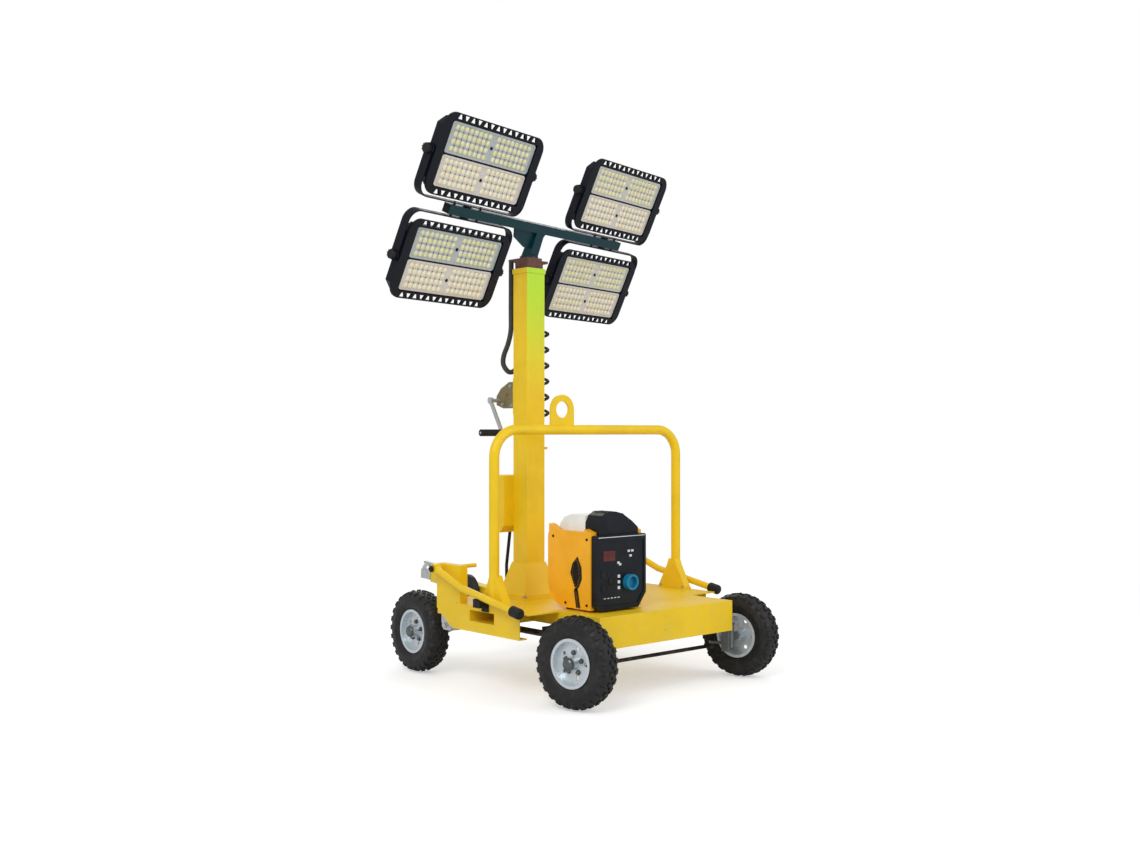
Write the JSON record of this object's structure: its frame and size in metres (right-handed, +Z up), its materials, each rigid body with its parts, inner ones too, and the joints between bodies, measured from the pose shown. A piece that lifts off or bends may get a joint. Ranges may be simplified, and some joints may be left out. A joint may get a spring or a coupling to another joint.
{
  "type": "mobile light tower",
  "caption": "Four-wheel hand and towed light tower: deck with generator, telescopic mast with winch, turning head of floodlights.",
  "frame": {"origin": "on the ground below the middle of the whole object's outline", "axes": "+X forward, towards the steered wheels; +Y to the cart's left; +Z up"},
  "size_m": [2.2214, 1.8682, 2.5908],
  "materials": {
    "yellow": "powder-coated yellow, satin",
    "zinc": "zinc plated, dull",
    "dark_steel": "black paint, satin",
    "teal": "dark teal paint, satin",
    "lamp_black": "black powder coat",
    "lamp_glass": "clear cover over pale lenses",
    "tyre": "black rubber",
    "rubber": "black rubber",
    "gen_orange": "moulded orange-yellow",
    "gen_dark": "moulded dark blue-black",
    "gen_white": "moulded off-white",
    "socket_blue": "moulded blue"
  },
  "bodies": {
    "root": {"deck": "yellow", "side_plates": "yellow", "chassis_rails": "yellow", "fork_sleeve": "yellow", "rear_posts": "yellow", "handle_rests": "rubber", "under_rods": "dark_steel", "rear_axle": "zinc", "front_axle": "zinc", "loop_frame": "yellow", "lifting_eye": "yellow", "mast_base": "yellow", "mast_outer": "yellow", "mast_collar": "yellow", "winch_frame": "zinc", "winch_drum": "zinc", "control_box": "yellow", "box_cable": "rubber", "cable_coil": "rubber", "generator_shell": "gen_orange", "generator_panel": "gen_dark", "generator_tank": "gen_white", "generator_trim": "gen_dark", "generator_socket": "socket_blue"},
    "mast_slider": {"mast_inner": "zinc", "lamp_loom": "rubber"},
    "head": {"head_bar": "teal", "yokes": "dark_steel"},
    "lamp_unit_1": {"lamp_1": "lamp_black", "glass_1": "lamp_glass"},
    "lamp_unit_2": {"lamp_2": "lamp_black", "glass_2": "lamp_glass"},
    "lamp_unit_3": {"lamp_3": "lamp_black", "glass_3": "lamp_glass"},
    "lamp_unit_4": {"lamp_4": "lamp_black", "glass_4": "lamp_glass"},
    "crank": {"crank": "zinc", "crank_grip": "rubber"},
    "handle_a": {"handle_a": "yellow", "handle_cap_a": "rubber"},
    "handle_b": {"handle_b": "yellow", "handle_cap_b": "rubber"},
    "knuckle_a": {"knuckle_a": "zinc"},
    "knuckle_b": {"knuckle_b": "zinc"},
    "tie_rod": {"tie_rod": "zinc"},
    "wheel_rear_a": {"tyre_rear_a": "tyre", "rim_rear_a": "zinc"},
    "wheel_rear_b": {"tyre_rear_b": "tyre", "rim_rear_b": "zinc"},
    "wheel_front_a": {"tyre_front_a": "tyre", "rim_front_a": "zinc"},
    "wheel_front_b": {"tyre_front_b": "tyre", "rim_front_b": "zinc"},
    "drawbar": {"drawbar": "yellow", "coupling": "zinc", "jockey_leg": "zinc"},
    "jockey_wheel": {"jockey_wheel": "tyre"}
  },
  "joints": [
    {"name": "mast_slide", "type": "slide", "parent": "root", "child": "mast_slider", "axis": [0, 0, 1], "range_m": [0, 1.25], "deforming": ["cable_coil"]},
    {"name": "head_turn", "type": "hinge", "parent": "mast_slider", "child": "head", "pos_m": [0.111, -0.015, 2.072], "axis": [0, 0, 1], "range_deg": [-165, 165]},
    {"name": "lamp_tilt_1", "type": "hinge", "parent": "head", "child": "lamp_unit_1", "pos_m": [0.40524, -0.5126, 2.43114], "axis": [-0.2419, 0.9703, 0], "range_deg": [-45, 60]},
    {"name": "lamp_tilt_2", "type": "hinge", "parent": "head", "child": "lamp_unit_2", "pos_m": [0.13719, 0.56249, 2.43114], "axis": [-0.2419, 0.9703, 0], "range_deg": [-45, 60]},
    {"name": "lamp_tilt_3", "type": "hinge", "parent": "head", "child": "lamp_unit_3", "pos_m": [0.20513, -0.56249, 1.98886], "axis": [-0.2419, 0.9703, 0], "range_deg": [-45, 60]},
    {"name": "lamp_tilt_4", "type": "hinge", "parent": "head", "child": "lamp_unit_4", "pos_m": [-0.06292, 0.5126, 1.98886], "axis": [-0.2419, 0.9703, 0], "range_deg": [-45, 60]},
    {"name": "crank_turn", "type": "hinge", "parent": "root", "child": "crank", "pos_m": [-0.07, -0.015, 1.365], "axis": [0, 1, 0], "continuous": true},
    {"name": "handle_fold_a", "type": "hinge", "parent": "root", "child": "handle_a", "pos_m": [-0.036, -0.47, 0.546], "axis": [0, -1, 0], "range_deg": [0, 150]},
    {"name": "handle_fold_b", "type": "hinge", "parent": "root", "child": "handle_b", "pos_m": [-0.036, 0.81, 0.546], "axis": [0, -1, 0], "range_deg": [0, 150]},
    {"name": "steer_a", "type": "hinge", "parent": "root", "child": "knuckle_a", "pos_m": [0.889, -0.285, 0.205], "axis": [0, 0, 1], "range_deg": [-26, 5]},
    {"name": "steer_b", "type": "hinge", "parent": "root", "child": "knuckle_b", "pos_m": [0.889, 0.625, 0.205], "axis": [0, 0, 1], "range_deg": [-26, 5]},
    {"name": "tie_rod_pin", "type": "hinge", "parent": "knuckle_a", "child": "tie_rod", "pos_m": [0.78351, -0.29142, 0.155], "axis": [0, 0, 1], "range_deg": [-5, 26]},
    {"name": "spin_rear_a", "type": "hinge", "parent": "root", "child": "wheel_rear_a", "pos_m": [-0.321, -0.375, 0.205], "axis": [0, 1, 0], "continuous": true},
    {"name": "spin_rear_b", "type": "hinge", "parent": "root", "child": "wheel_rear_b", "pos_m": [-0.321, 0.715, 0.205], "axis": [0, 1, 0], "continuous": true},
    {"name": "spin_front_a", "type": "hinge", "parent": "knuckle_a", "child": "wheel_front_a", "pos_m": [0.90463, -0.37363, 0.205], "axis": [-0.1736, 0.9848, 0], "continuous": true},
    {"name": "spin_front_b", "type": "hinge", "parent": "knuckle_b", "child": "wheel_front_b", "pos_m": [0.87183, 0.71335, 0.205], "axis": [-0.1908, 0.9816, 0], "continuous": true},
    {"name": "drawbar_lift", "type": "hinge", "parent": "root", "child": "drawbar", "pos_m": [-0.121, 0.17, 0.302], "axis": [0, 1, 0], "range_deg": [0, 75]},
    {"name": "spin_jockey", "type": "hinge", "parent": "drawbar", "child": "jockey_wheel", "pos_m": [-0.58617, 0.108, 0.3433], "axis": [0, 1, 0], "continuous": true}
  ],
  "couplings": [
    {"joint": "steer_b", "follows": "steer_a", "ratio": 1},
    {"joint": "tie_rod_pin", "follows": "steer_a", "ratio": -1}
  ]
}
